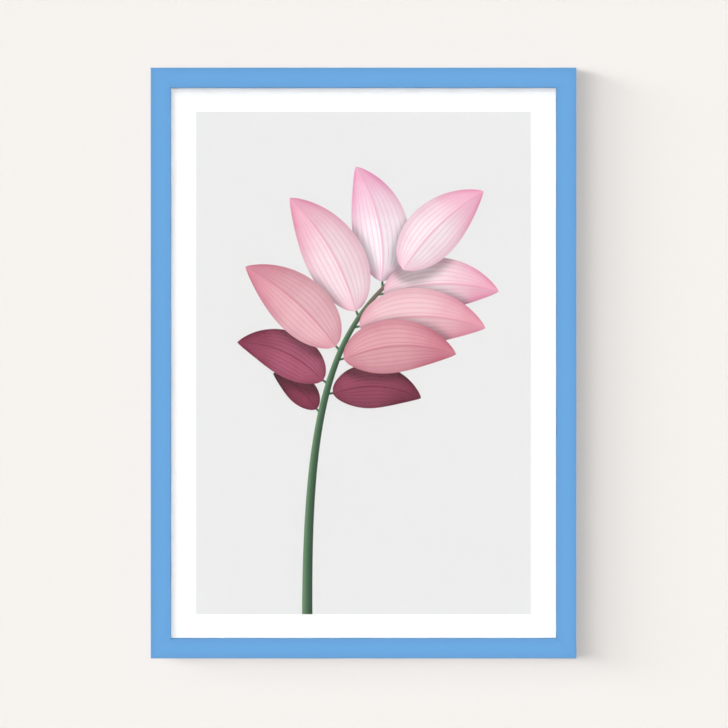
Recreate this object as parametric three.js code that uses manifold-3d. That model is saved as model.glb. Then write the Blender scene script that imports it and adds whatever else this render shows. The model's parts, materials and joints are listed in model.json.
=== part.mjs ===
// A framed art print that hangs on a wall: four mitred rails of painted wood round an A3 sheet
// behind clear glazing, closed at the back by a board that eight turn buttons hold in place.
//
// Millimetres. +X runs to the right seen from the front, +Z up, and the front faces -Y.
// The wall is the plane Y = 0, and the origin is the hanger's middle notch on that plane.

import * as THREE from 'three';
import { mergeVertices } from 'three/addons/utils/BufferGeometryUtils.js';
import Module from 'manifold-3d';

const wasm = await Module();
wasm.setup();

// ---- Driving dimensions ----------------------------------------------------------------------

const PRINT_WIDTH = 297;          // A3 sheet
const PRINT_HEIGHT = 420;
const FACE_WIDTH = 15;            // width of the moulding seen from the front
const MOULDING_DEPTH = 17;        // back plane to the crown of the front
const LIP_OVERLAP = 5.5;          // how far the lip reaches over the rebate
const CROWN_RISE = 2;             // how far the arched front stands above its own edges
const CROWN_STEPS = 14;
const EDGE_ROUND = 0.8;           // soft edge between each straight side and the crown
const EDGE_STEPS = 3;

const FIT_GAP = 0.3;              // clearance between pieces that lie against each other
const SHEET_PLAY = 0.5;           // edge of the print to the rebate, each side

const GLAZING_THICKNESS = 2;
const PAPER_THICKNESS = 0.3;
const FILLER_THICKNESS = 5;
const BACK_BOARD_THICKNESS = 2.5;

const WALL_TO_BACK = 3;           // bumpers and hanger hold the rails this far off the wall
const NOTCH_BELOW_TOP = 7.5;      // hanger notch to the top edge of the frame

const BUTTON_THICKNESS = 1;
const BUTTON_HUB_RADIUS = 5;
const BUTTON_TIP_RADIUS = 3;
const BUTTON_REACH = 16;          // pivot to the centre of the round tip
const BUTTON_INSET = 5;           // outer edge of the rail to the pivot
const BUTTON_SPREAD_SHORT = 75;   // middle of a short rail to the pivot
const BUTTON_SPREAD_LONG = 110;   // middle of a long rail to the pivot

const SCREW_SHANK_RADIUS = 1.25;
const SCREW_HEAD_RADIUS = 2.6;
const SCREW_HEAD_HEIGHT = 1.1;
const SCREW_DOME = [[1, 0.5], [0.8, 0.85], [0.5, 1]];  // head outline as shares of radius and height
const SCREW_IN_WOOD = 8;
const SCREW_POINT = 2;
const CROSS_LENGTH = 2.6;         // cross recess in the screw head
const CROSS_WIDTH = 0.6;
const CROSS_DEPTH = 0.6;

const HANGER_LENGTH = 45;
const HANGER_HEIGHT = 8;
const HANGER_THICKNESS = 0.8;
const HANGER_RISE = 1.4;          // how far the middle stands off behind the ends
const HANGER_END = 8;             // flat end that takes the nail
const HANGER_RAMP = 2.5;
const NOTCH_DEPTH = 1.6;
const NOTCH_PITCH = 2.6;
const TOOTH_FLAT = 0.4;           // blunt tip of each tooth
const NOTCHES_EACH_SIDE = 4;

const NAIL_RADIUS = 0.7;
const NAIL_HEAD_RADIUS = 1.8;
const NAIL_HEAD_HEIGHT = 0.8;
const NAIL_IN_WOOD = 9;
const NAIL_POINT = 1.5;

const V_NAIL_WING = 4;            // length of each wing of a corner fastener
const V_NAIL_THICKNESS = 0.5;
const V_NAIL_HEIGHT = 8;
const V_NAIL_INSET = 7;           // outer edges of the frame to the apex of the V

const BUMPER_RADIUS = 4.25;
const BUMPER_SHOULDER_RADIUS = 3.9;
const BUMPER_FLAT_RADIUS = 3;
const BUMPER_SIDE = 1.5;          // height of its straight side above the rail
const BUMPER_SHOULDER = 2.4;
const BUMPER_FROM_END = 22;       // end of the bottom rail to the bumper

const ROUND_SIDES = 16;
const PAST_SURFACE = 1;           // how far a cutter starts outside the face that it opens

// ---- Derived sizes ---------------------------------------------------------------------------
// Pieces are placed in a group whose Y = 0 is the back plane of the rails.

const WALL_WIDTH = FACE_WIDTH - LIP_OVERLAP;
const REBATE_WIDTH = PRINT_WIDTH + 2 * SHEET_PLAY;
const REBATE_HEIGHT = PRINT_HEIGHT + 2 * SHEET_PLAY;
const FRAME_WIDTH = REBATE_WIDTH + 2 * WALL_WIDTH;
const FRAME_HEIGHT = REBATE_HEIGHT + 2 * WALL_WIDTH;
const BOARD_WIDTH = REBATE_WIDTH - 2 * FIT_GAP;
const BOARD_HEIGHT = REBATE_HEIGHT - 2 * FIT_GAP;
const CENTRE_Z = NOTCH_BELOW_TOP - FRAME_HEIGHT / 2;

const SHANK_HOLE_RADIUS = SCREW_SHANK_RADIUS + FIT_GAP;
const SCREW_SEAT = BUTTON_THICKNESS + 2 * FIT_GAP;
const HANGER_LOW = -NOTCH_DEPTH - NOTCH_BELOW_TOP;
const NAIL_X = (HANGER_LENGTH - HANGER_END) / 2;
const NAIL_Z = HANGER_LOW + HANGER_HEIGHT / 2;
const NAIL_HOLE_RADIUS = NAIL_RADIUS + FIT_GAP;
const NAIL_SEAT = HANGER_THICKNESS + 2 * FIT_GAP;

// ---- Materials -------------------------------------------------------------------------------

const finish = (color, roughness, metalness, more = {}) => () =>
  new THREE.MeshStandardMaterial({ color, roughness, metalness, ...more });

const bluePaint = finish(0x6ea9e3, 0.42, 0);
const clearGlass = finish(0xf4f8f8, 0.05, 0, { transparent: true, opacity: 0.2 });
const paper = finish(0xfafafa, 0.85, 0);
const foamBoard = finish(0xf2f0ea, 0.8, 0);
const hardboard = finish(0x7a5638, 0.7, 0);
const zincSteel = finish(0xb9bcc0, 0.35, 1);
const greySteel = finish(0x6c6f73, 0.4, 1);
const clearRubber = finish(0xd9dcdc, 0.5, 0);

// The sheets lie one on another from the back plane forwards.
const CUT_BOARD = { width: BOARD_WIDTH, height: BOARD_HEIGHT };
const CUT_PAPER = { width: PRINT_WIDTH, height: PRINT_HEIGHT };
const STACK = [
  { name: 'back_board', ...CUT_BOARD, thickness: BACK_BOARD_THICKNESS, look: hardboard },
  { name: 'filler_board', ...CUT_BOARD, thickness: FILLER_THICKNESS, look: foamBoard },
  { name: 'art_print', ...CUT_PAPER, thickness: PAPER_THICKNESS, look: paper },
  { name: 'glazing_sheet', ...CUT_BOARD, thickness: GLAZING_THICKNESS, look: clearGlass },
];
const REBATE_DEPTH = STACK.reduce((depth, sheet) => depth + sheet.thickness + FIT_GAP, 0);

// Each rail is made lying at the top and turned about Y to its side. `ends` names what lies
// towards local -X and +X, and `corner` is the frame's corner at local +X.
const QUARTER = Math.PI / 2;
const SHORT = { length: FRAME_WIDTH, across: FRAME_HEIGHT, spread: BUTTON_SPREAD_SHORT };
const LONG = { length: FRAME_HEIGHT, across: FRAME_WIDTH, spread: BUTTON_SPREAD_LONG };
const SIDES = [
  { name: 'top', turn: 0, ...SHORT, ends: ['left', 'right'], corner: 'top_right' },
  { name: 'right', turn: QUARTER, ...LONG, ends: ['upper', 'lower'], corner: 'bottom_right' },
  { name: 'bottom', turn: 2 * QUARTER, ...SHORT, ends: ['right', 'left'], corner: 'bottom_left' },
  { name: 'left', turn: 3 * QUARTER, ...LONG, ends: ['lower', 'upper'], corner: 'top_left' },
];

// ---- Geometry helpers ------------------------------------------------------------------------

function toManifold(geometry) {
  const bare = geometry.clone();
  bare.deleteAttribute('normal');
  bare.deleteAttribute('uv');
  const merged = mergeVertices(bare, 1e-4);
  const vertProperties = new Float32Array(merged.attributes.position.array);
  const triVerts = new Uint32Array(merged.index.array);
  return new wasm.Manifold(new wasm.Mesh({ numProp: 3, vertProperties, triVerts }));
}

function cut(geometry, cutters) {
  const solid = cutters.reduce((rest, cutter) => rest.subtract(toManifold(cutter)), toManifold(geometry));
  const mesh = solid.getMesh();
  const result = new THREE.BufferGeometry();
  result.setAttribute('position', new THREE.BufferAttribute(mesh.vertProperties, 3));
  result.setIndex(new THREE.BufferAttribute(mesh.triVerts, 1));
  result.computeVertexNormals();
  return result;
}

const vectors = (list) => list.map(([x, y]) => new THREE.Vector2(x, y));

// A solid of revolution about Y, from [radius, y] pairs that start and end on the axis.
const turned = (profile) => new THREE.LatheGeometry(vectors(profile), ROUND_SIDES);

// An outline drawn in X and Z, with thickness running forwards (-Y) from the given back face.
const plate = (outline, thickness, backY) =>
  new THREE.ExtrudeGeometry(outline, { depth: thickness, bevelEnabled: false })
    .rotateX(QUARTER)
    .translate(0, backY, 0);

// A round hole opened from the back, down to the given depth.
function drill(x, z, radius, depth) {
  const length = depth + PAST_SURFACE;
  const hole = new THREE.CylinderGeometry(radius, radius, length, ROUND_SIDES);
  return hole.translate(x, PAST_SURFACE - length / 2, z);
}

function piece(name, geometry, look, x = 0, z = 0) {
  const mesh = new THREE.Mesh(geometry, look());
  mesh.name = name;
  mesh.position.set(x, 0, z);
  return mesh;
}

// ---- Rails -----------------------------------------------------------------------------------
// A rail lies along X. Z is 0 at its outer edge and -FACE_WIDTH at the sight edge; Y is 0 at its
// back and -MOULDING_DEPTH at the crown.

// The section, inward across and forward up: outer side, soft edge, arched front, soft edge,
// sight edge, lip and rebate. The crown is an arc, and a small round joins it to each side.
function railSection() {
  const half = FACE_WIDTH / 2;
  const radius = (half * half + CROWN_RISE * CROWN_RISE) / (2 * CROWN_RISE);
  const centre = MOULDING_DEPTH - radius;
  const inner = half - EDGE_ROUND;
  const lean = Math.asin(inner / (radius - EDGE_ROUND));
  const edgeY = centre + (radius - EDGE_ROUND) * Math.cos(lean);
  const outline = [[0, 0]];
  const arc = (x, y, r, from, to, steps) => {
    for (let i = 0; i <= steps; i += 1) {
      const angle = from + ((to - from) * i) / steps;
      outline.push([x + r * Math.cos(angle), y + r * Math.sin(angle)]);
    }
  };
  arc(EDGE_ROUND, edgeY, EDGE_ROUND, Math.PI, QUARTER + lean, EDGE_STEPS);
  arc(half, centre, radius, QUARTER + lean, QUARTER - lean, CROWN_STEPS);
  arc(FACE_WIDTH - EDGE_ROUND, edgeY, EDGE_ROUND, QUARTER - lean, 0, EDGE_STEPS);
  outline.push([FACE_WIDTH, REBATE_DEPTH], [WALL_WIDTH, REBATE_DEPTH], [WALL_WIDTH, 0]);
  return new THREE.Shape(vectors(outline));
}

// One step of extrusion, with each end sheared to its 45 degree mitre.
function mitredRail(length) {
  const geometry = new THREE.ExtrudeGeometry(railSection(), { depth: 1, bevelEnabled: false });
  const relief = FIT_GAP / Math.SQRT2;
  const position = geometry.attributes.position;
  for (let i = 0; i < position.count; i += 1) {
    const inward = position.getX(i);
    const forward = position.getY(i);
    const end = position.getZ(i) > 0.5 ? -1 : 1;
    position.setXYZ(i, end * (length / 2 - inward - relief), -forward, -inward);
  }
  return geometry;
}

function rail(side) {
  const screwDepth = SCREW_IN_WOOD + FIT_GAP;
  const nailDepth = NAIL_IN_WOOD + FIT_GAP;
  const cutters = [];
  for (const end of [-1, 1]) {
    cutters.push(drill(end * side.spread, -BUTTON_INSET, SHANK_HOLE_RADIUS, screwDepth));
    cutters.push(vNail(side.length, end, FIT_GAP, PAST_SURFACE + FIT_GAP));
    if (side.name === 'top') {
      cutters.push(drill(end * NAIL_X, NAIL_Z, NAIL_HOLE_RADIUS, nailDepth));
    }
  }
  return cut(mitredRail(side.length), cutters);
}

// ---- Fasteners -------------------------------------------------------------------------------

// Two wings at a right angle with the apex towards the rebate: one wing in each rail of a corner.
function vNail(length, end, clearance = 0, above = 0) {
  const near = -V_NAIL_THICKNESS / 2 - clearance;
  const far = V_NAIL_THICKNESS / 2 + clearance;
  const tip = V_NAIL_WING + clearance;
  const corners = [[near, near], [tip, near], [tip, far], [far, far], [far, tip], [near, tip]];
  const outline = new THREE.Shape(vectors(corners.map(([x, z]) => [end * x, z])));
  const solid = plate(outline, V_NAIL_HEIGHT + clearance + above, above - FIT_GAP);
  return solid.translate(end * (length / 2 - V_NAIL_INSET), 0, -V_NAIL_INSET);
}

// A flat drop-shaped plate: a hub round the screw and a smaller round tip, pointing inwards (-Z).
function turnButton() {
  const lean = Math.acos((BUTTON_HUB_RADIUS - BUTTON_TIP_RADIUS) / BUTTON_REACH);
  const outline = new THREE.Shape();
  outline.absarc(0, 0, BUTTON_HUB_RADIUS, lean - QUARTER, 3 * QUARTER - lean);
  outline.absarc(0, -BUTTON_REACH, BUTTON_TIP_RADIUS, -QUARTER - lean, lean - QUARTER);
  outline.holes.push(new THREE.Path().absarc(0, 0, SHANK_HOLE_RADIUS, 0, 4 * QUARTER, true));
  return plate(outline, BUTTON_THICKNESS, FIT_GAP + BUTTON_THICKNESS);
}

function panHeadScrew() {
  const top = SCREW_SEAT + SCREW_HEAD_HEIGHT;
  const dome = SCREW_DOME.map(([r, h]) => [r * SCREW_HEAD_RADIUS, SCREW_SEAT + h * SCREW_HEAD_HEIGHT]);
  const body = turned([
    [0, -SCREW_IN_WOOD],
    [SCREW_SHANK_RADIUS, SCREW_POINT - SCREW_IN_WOOD],
    [SCREW_SHANK_RADIUS, SCREW_SEAT],
    [SCREW_HEAD_RADIUS, SCREW_SEAT],
    ...dome,
    [0, top],
  ]);
  const depth = CROSS_DEPTH + PAST_SURFACE;
  const slotY = top - CROSS_DEPTH + depth / 2;
  const slots = [[CROSS_LENGTH, CROSS_WIDTH], [CROSS_WIDTH, CROSS_LENGTH]];
  return cut(body, slots.map(([x, z]) => new THREE.BoxGeometry(x, depth, z).translate(0, slotY, 0)));
}

function hangerNail() {
  return turned([
    [0, -NAIL_IN_WOOD],
    [NAIL_RADIUS, NAIL_POINT - NAIL_IN_WOOD],
    [NAIL_RADIUS, NAIL_SEAT],
    [NAIL_HEAD_RADIUS, NAIL_SEAT],
    [NAIL_HEAD_RADIUS, NAIL_SEAT + NAIL_HEAD_HEIGHT],
    [0, NAIL_SEAT + NAIL_HEAD_HEIGHT],
  ]);
}

// A steel strip whose middle stands off the rail, with notches along its lower edge.
function sawtoothHanger() {
  const end = HANGER_LENGTH / 2;
  const bend = end - HANGER_END;
  const crest = bend - HANGER_RAMP;
  const low = FIT_GAP;
  const high = FIT_GAP + HANGER_RISE;
  const front = [[-end, low], [-bend, low], [-crest, high], [crest, high], [bend, low], [end, low]];
  const back = front.map(([x, y]) => [x, y + HANGER_THICKNESS]).reverse();
  const strip = new THREE.ExtrudeGeometry(new THREE.Shape(vectors([...front, ...back])), {
    depth: HANGER_HEIGHT,
    bevelEnabled: false,
  });
  strip.translate(0, 0, HANGER_LOW);

  const slope = (NOTCH_PITCH - TOOTH_FLAT) / 2 / NOTCH_DEPTH;
  const drop = NOTCH_DEPTH + PAST_SURFACE;
  const notch = new THREE.Shape(vectors([[0, 0], [-drop * slope, -drop], [drop * slope, -drop]]));
  const through = high + HANGER_THICKNESS + 2 * PAST_SURFACE;
  const cutters = [];
  for (let i = -NOTCHES_EACH_SIDE; i <= NOTCHES_EACH_SIDE; i += 1) {
    const wedge = plate(notch, through, through - PAST_SURFACE);
    cutters.push(wedge.translate(i * NOTCH_PITCH, 0, -NOTCH_BELOW_TOP));
  }
  for (const side of [-1, 1]) {
    const hole = new THREE.CylinderGeometry(NAIL_HOLE_RADIUS, NAIL_HOLE_RADIUS, through, ROUND_SIDES);
    cutters.push(hole.translate(side * NAIL_X, through / 2 - PAST_SURFACE, NAIL_Z));
  }
  return cut(strip, cutters);
}

function bumper() {
  return turned([
    [0, FIT_GAP],
    [BUMPER_RADIUS, FIT_GAP],
    [BUMPER_RADIUS, BUMPER_SIDE],
    [BUMPER_SHOULDER_RADIUS, BUMPER_SHOULDER],
    [BUMPER_FLAT_RADIUS, WALL_TO_BACK],
    [0, WALL_TO_BACK],
  ]);
}

// ---- Assembly --------------------------------------------------------------------------------

function sheets() {
  const group = new THREE.Group();
  let depth = 0;
  for (const { name, width, height, thickness, look } of STACK) {
    const sheet = piece(name, new THREE.BoxGeometry(width, thickness, height), look);
    sheet.position.y = -depth - thickness / 2;
    depth += thickness + FIT_GAP;
    group.add(sheet);
  }
  return group;
}

function sideOfFrame(side) {
  const edge = new THREE.Group();
  edge.position.z = side.across / 2;
  edge.add(piece(`rail_${side.name}`, rail(side), bluePaint));
  edge.add(piece(`v_nail_${side.corner}`, vNail(side.length, 1), greySteel));
  side.ends.forEach((end, i) => {
    const x = (2 * i - 1) * side.spread;
    edge.add(piece(`turn_button_${side.name}_${end}`, turnButton(), zincSteel, x, -BUTTON_INSET));
    edge.add(piece(`button_screw_${side.name}_${end}`, panHeadScrew(), zincSteel, x, -BUTTON_INSET));
    if (side.name === 'top') {
      edge.add(piece(`hanger_nail_${end}`, hangerNail(), greySteel, (2 * i - 1) * NAIL_X, NAIL_Z));
    }
    if (side.name === 'bottom') {
      const bumperX = (2 * i - 1) * (side.length / 2 - BUMPER_FROM_END);
      edge.add(piece(`bumper_${end}`, bumper(), clearRubber, bumperX, -WALL_WIDTH / 2));
    }
  });
  if (side.name === 'top') edge.add(piece('sawtooth_hanger', sawtoothHanger(), zincSteel));
  const turnedSide = new THREE.Group();
  turnedSide.rotation.y = side.turn;
  turnedSide.add(edge);
  return turnedSide;
}

const framedPrint = new THREE.Group();
framedPrint.position.set(0, -WALL_TO_BACK, CENTRE_Z);
framedPrint.add(sheets(), ...SIDES.map(sideOfFrame));

export default framedPrint;
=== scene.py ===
# %% [markdown]
# # Dressing a framed art print
#
# The object is a portrait frame of satin blue wood round an A3 sheet behind glass. The frame of
# solid parts comes ready made, at its real size, and this lesson gives it its looks: finer
# mouldings, printed paper, glass, boards and small hardware. New pieces could be shaped by eye on
# top of the solids, but they would soon drift from them, so each one is worked out from the box of
# the part that it dresses. The front faces -Y, the wall is the plane y = 0, and everything is in
# metres.

# %% Load the solid parts
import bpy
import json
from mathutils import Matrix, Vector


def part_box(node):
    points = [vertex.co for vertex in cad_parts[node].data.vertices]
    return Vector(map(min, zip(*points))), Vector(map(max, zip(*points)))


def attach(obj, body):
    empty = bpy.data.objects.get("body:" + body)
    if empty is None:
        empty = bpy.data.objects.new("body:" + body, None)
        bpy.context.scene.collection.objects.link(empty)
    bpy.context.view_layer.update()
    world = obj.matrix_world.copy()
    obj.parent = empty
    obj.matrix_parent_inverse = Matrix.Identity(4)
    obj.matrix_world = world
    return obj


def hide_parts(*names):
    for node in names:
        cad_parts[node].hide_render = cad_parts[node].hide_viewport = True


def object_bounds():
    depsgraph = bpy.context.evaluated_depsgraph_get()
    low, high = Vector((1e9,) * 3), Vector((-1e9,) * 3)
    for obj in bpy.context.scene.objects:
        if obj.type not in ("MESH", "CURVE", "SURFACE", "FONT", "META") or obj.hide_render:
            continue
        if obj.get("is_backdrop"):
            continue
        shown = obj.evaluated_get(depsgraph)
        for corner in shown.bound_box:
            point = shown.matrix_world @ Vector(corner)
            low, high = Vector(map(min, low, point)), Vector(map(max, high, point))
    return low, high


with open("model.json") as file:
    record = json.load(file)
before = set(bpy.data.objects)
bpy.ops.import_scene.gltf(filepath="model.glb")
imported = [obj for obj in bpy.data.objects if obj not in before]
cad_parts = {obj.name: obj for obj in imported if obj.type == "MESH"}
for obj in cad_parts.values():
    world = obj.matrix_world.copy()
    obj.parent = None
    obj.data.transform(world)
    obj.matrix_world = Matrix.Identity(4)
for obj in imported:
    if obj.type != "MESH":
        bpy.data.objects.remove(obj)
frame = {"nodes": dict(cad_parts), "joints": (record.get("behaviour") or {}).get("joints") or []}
cad_lo, cad_hi = (list(corner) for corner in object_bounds())

import json
import math

import bmesh
import bpy
import numpy as np
from mathutils import Vector

# %% [markdown]
# ## Sizes
#
# Every size that a new piece must share with the solid parts is read from their boxes, so that
# nothing has to be fitted by eye. Only the finish of a piece, such as an eased edge, has a size of
# its own here.

# %% Sizes read from the parts
MM = 0.001
FIT_GAP = 0.3 * MM
top_lo, top_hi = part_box("rail_top")
glass_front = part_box("glazing_sheet")[0].y
board_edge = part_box("back_board")[1].x

WIDTH = cad_hi[0] - cad_lo[0]
HEIGHT = cad_hi[2] - cad_lo[2]
CENTRE_Z = (cad_lo[2] + cad_hi[2]) / 2
FACE = top_hi.z - top_lo.z
BACK_Y = top_hi.y
FRONT_Y = top_lo.y
DEPTH = BACK_Y - FRONT_Y
LIP = BACK_Y - glass_front + FIT_GAP
WALL = cad_hi[0] - board_edge - FIT_GAP
PAPER_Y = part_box("art_print")[0].y
print(f"frame {WIDTH / MM:.0f} x {HEIGHT / MM:.0f} mm, moulding {FACE / MM:.0f} x {DEPTH / MM:.0f} mm")

# %% [markdown]
# ## The camera
#
# The frame is seen square from the front and its edges look parallel. A flat view without any
# perspective would also do that, but it hides the depth of the opening, so this is a long lens on a
# camera that stands well back. Its distance follows from the width of wall that the view takes in.

# %% Place the camera
VIEW_WIDTH = 541.8 * MM
LENS = 200.0
SENSOR = 36.0
AIM_X = 0.37 * MM
AIM_BELOW_CENTRE = 0.74 * MM


def in_scene(name, data):
    """A new object in the scene, for a mesh, a lamp or a camera."""
    item = bpy.data.objects.new(name, data)
    bpy.context.scene.collection.objects.link(item)
    return item


camera_data = bpy.data.cameras.new("camera")
camera_data.lens = LENS
camera_data.sensor_width = SENSOR
camera = in_scene("camera", camera_data)
camera_distance = VIEW_WIDTH * LENS / SENSOR
camera.location = (AIM_X, FRONT_Y - camera_distance, CENTRE_Z - AIM_BELOW_CENTRE)
camera.rotation_euler = (math.pi / 2, 0, 0)
bpy.context.scene.camera = camera
print(f"camera {camera_distance:.2f} m in front of the frame")

# %% [markdown]
# ## From numbers to a mesh
#
# Mouldings, screws and leaves of ink could each be built from Blender's own shapes and then edited.
# Here they are all surfaces of two parameters: a patch is a grid of points, worked out with whole
# arrays, and its quads follow from the grid alone, so one helper serves every piece. Points that
# fall together, at a seam or a pole, are merged afterwards, and the faces are turned outwards.

# %% A grid of points and its faces
def patch(points, uv=None, caps=False, **values):
    """A grid of points (rows, columns, 3), with a UV pair and any named value at each point.
    Caps closes the first and the last row with one face each."""
    rows, columns = points.shape[:2]
    row, column = np.meshgrid(np.arange(rows - 1), np.arange(columns - 1), indexing="ij")
    corner = row * columns + column
    quads = np.stack([corner, corner + columns, corner + columns + 1, corner + 1], -1)
    faces = quads.reshape(-1, 4).tolist()
    if caps:
        ring = np.arange(columns - 1)
        faces += [ring.tolist(), (ring + (rows - 1) * columns)[::-1].tolist()]
    return {
        "points": points.reshape(-1, 3),
        "faces": faces,
        "uv": np.zeros((rows * columns, 2)) if uv is None else uv.reshape(-1, 2),
        "values": {name: np.broadcast_to(v, (rows, columns)).ravel() for name, v in values.items()},
    }


print("a grid of 3 x 4 points has", len(patch(np.zeros((3, 4, 3)))["faces"]), "faces")

# %% From patches to a piece
SEAM_MERGE = 1e-7


def build(name, patches, material, sharp):
    """One closed mesh of several patches, with merged seams and soft shading below a sharp angle."""
    starts = np.cumsum([0] + [len(p["points"]) for p in patches])
    faces = [[i + int(start) for i in face] for p, start in zip(patches, starts) for face in p["faces"]]
    mesh = bpy.data.meshes.new(name)
    mesh.from_pydata(np.concatenate([p["points"] for p in patches]).tolist(), [], faces)
    corners = np.empty(len(mesh.loops), np.int32)
    mesh.loops.foreach_get("vertex_index", corners)
    uv = np.concatenate([p["uv"] for p in patches])
    mesh.uv_layers.new(name="form").data.foreach_set("uv", uv[corners].astype(np.float32).ravel())
    for key in patches[0]["values"]:
        numbers = np.concatenate([p["values"][key] for p in patches]).astype(np.float32)
        mesh.attributes.new(key, "FLOAT", "POINT").data.foreach_set("value", numbers)
    work = bmesh.new()
    work.from_mesh(mesh)
    bmesh.ops.remove_doubles(work, verts=work.verts, dist=SEAM_MERGE)
    bmesh.ops.recalc_face_normals(work, faces=work.faces)
    work.to_mesh(mesh)
    work.free()
    mesh.shade_smooth()
    mesh.set_sharp_from_angle(angle=math.radians(sharp))
    mesh.materials.append(material)
    return in_scene(name, mesh)


print(f"points within {SEAM_MERGE / MM:.4f} mm are merged")


# %% What a piece rides on and stands for
def stands_for(piece, body, slot, *nodes):
    """The piece moves with a body and hides the nodes that it replaces. The slot is not used."""
    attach(piece, body)
    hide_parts(*nodes)
    return piece


# %% Arcs
def arc(x, y, radius, start, end, steps):
    """Points (x + r cos a, y + r sin a), with a from start to end in degrees."""
    angle = np.radians(np.linspace(start, end, steps + 1))
    return np.stack([x + radius * np.cos(angle), y + radius * np.sin(angle)], -1)


print("a quarter turn in 3 steps:", arc(0, 0, 1, 0, 90, 3).round(2).tolist())

# %% [markdown]
# ## Writing shaders as sums
#
# A shader is usually wired by hand in the node editor, and wired trees are hard to read back. Written
# as an expression, a tree reads like the rule that it follows. `Value` wraps one output socket, and
# adding, multiplying or clamping it adds the Math node that does it. `Finish` holds one material and
# adds every other kind of node by its type, its settings and then its inputs.


# %% Sockets that act as numbers
class Value:
    """One output socket. Arithmetic on it adds Math nodes to the same tree."""

    def __init__(self, socket):
        self.socket = socket

    def math(self, operation, *terms):
        tree = self.socket.id_data
        node = tree.nodes.new("ShaderNodeMath")
        node.operation = operation
        for term, slot in zip(terms, node.inputs):
            plug(term, slot)
        return Value(node.outputs[0])

    def __add__(self, other):
        return self.math("ADD", self, other)

    def __sub__(self, other):
        return self.math("SUBTRACT", self, other)

    def __rsub__(self, other):
        return self.math("SUBTRACT", other, self)

    def __mul__(self, other):
        return self.math("MULTIPLY", self, other)

    def __truediv__(self, other):
        return self.math("DIVIDE", self, other)

    def __pow__(self, other):
        return self.math("POWER", self, other)

    def __abs__(self):
        return self.math("ABSOLUTE", self)

    __radd__ = __add__
    __rmul__ = __mul__

    def sine(self):
        return self.math("SINE", self)

    def clamp(self):
        return self.math("MINIMUM", self.math("MAXIMUM", self, 0.0), 1.0)

    def smooth(self, low, high):
        """0 below low, 1 above high, and an S-curve between them."""
        t = ((self - low) / (high - low)).clamp()
        return t * t * (3.0 - 2.0 * t)


def plug(item, slot):
    """Links a Value to an input socket, or sets the socket to a plain number or colour."""
    if isinstance(item, Value):
        slot.id_data.links.new(item.socket, slot)
    else:
        slot.default_value = item


print("a socket understands + - * / ** and abs")


# %% Colours as linear light
def linear(code, alpha=1.0):
    """A colour written as on a screen, #RRGGBB, as the linear light that shaders use."""
    screen = np.array([int(code[i:i + 2], 16) for i in (1, 3, 5)]) / 255
    light = np.where(screen <= 0.04045, screen / 12.92, ((screen + 0.055) / 1.055) ** 2.4)
    return (*light.tolist(), alpha)


WHITE = (1.0, 1.0, 1.0, 1.0)
print("mid grey, #808080, is", round(linear("#808080")[0], 3), "in linear light")


# %% One material and its nodes
class Finish:
    """A material and its nodes."""

    def __init__(self, name):
        self.material = bpy.data.materials.new(name)
        self.material.use_nodes = True
        self.tree = self.material.node_tree
        self.tree.nodes.clear()
        self.object = self.node("TexCoord", output="Object")

    def node(self, kind, settings=(), inputs=(), output=0):
        """Adds one node: its type, then its settings, then the values or links of its sockets."""
        node = self.tree.nodes.new("ShaderNode" + kind)
        for key, value in dict(settings).items():
            if key == "stops":
                self.stops(node.color_ramp.elements, value)
            else:
                setattr(node, key, value)
        for key, value in dict(inputs).items():
            plug(value, node.inputs[key])
        return Value(node.outputs[output])

    @staticmethod
    def stops(elements, stops):
        while len(elements) < len(stops):
            elements.new(1.0)
        for element, (position, colour) in zip(elements, stops):
            element.position = position
            element.color = colour

    def axes(self, vector):
        """The three numbers of a vector."""
        node = self.node("SeparateXYZ", {}, {"Vector": vector}).socket.node
        return [Value(socket) for socket in node.outputs]

    def uv(self):
        """The two numbers of the piece's own map."""
        return self.axes(self.node("UVMap", {"uv_map": "form"}))[:2]

    def carried(self, name):
        """A number that the piece carries at each point."""
        return self.node("Attribute", {"attribute_name": name}, output="Fac")

    def noise(self, scale, detail=2.0, stretch=(1, 1, 1), vector=None, roughness=0.5):
        """Cloudy noise around 0.5, stretched along an axis where its factor is small."""
        place = self.object if vector is None else vector
        mapped = self.node("Mapping", {}, {"Vector": place, "Scale": stretch})
        return self.node("TexNoise", {}, {
            "Vector": mapped, "Scale": scale, "Detail": detail, "Roughness": roughness})

    def mix(self, factor, first, second, blend="MIX"):
        """A colour between two colours."""
        settings = {"data_type": "RGBA", "blend_type": blend}
        return self.node("Mix", settings, {0: factor, 6: first, 7: second}, output=2)

    def ramp(self, value, *stops):
        """A colour read from a list of (position, colour) stops."""
        return self.node("ValToRGB", {"stops": stops}, {"Fac": value})

    def bump(self, height, strength, distance, under=None):
        """A normal tilted by a height field, on top of another bump if one is given."""
        inputs = {"Height": height, "Strength": strength, "Distance": distance}
        if under is not None:
            inputs["Normal"] = under
        return self.node("Bump", {}, inputs)

    def principled(self, **sockets):
        """The main surface shader, with its sockets named in lower case with underscores."""
        named = {key.replace("_", " ").title().replace("Ior", "IOR"): value
                 for key, value in sockets.items()}
        return self.node("BsdfPrincipled", {}, named)

    def finish(self, surface):
        """Sends a shader to the output and hands over the material."""
        plug(surface, self.tree.nodes.new("ShaderNodeOutputMaterial").inputs["Surface"])
        print(f"{self.material.name}: {len(self.tree.nodes)} nodes")
        return self.material


print("a finish can add:", ", ".join(name for name in vars(Finish) if not name.startswith("_")))

# %% [markdown]
# ## Blue satin paint on wood
#
# The mouldings are sprayed with a soft sky blue. Sprayed paint is never quite flat: it dries with a
# fine orange-peel dimple and a slight change of gloss. The back and the rebate are left as bare
# pale wood, with a little overspray along the edge, and the joint at each mitre shows as a fine dark
# line. Two materials could share the moulding, but their border would be a hard edge along the
# faces. So one material holds both, the `paint` value that the rail carries says where the one ends,
# and noise roughens that border.

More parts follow.
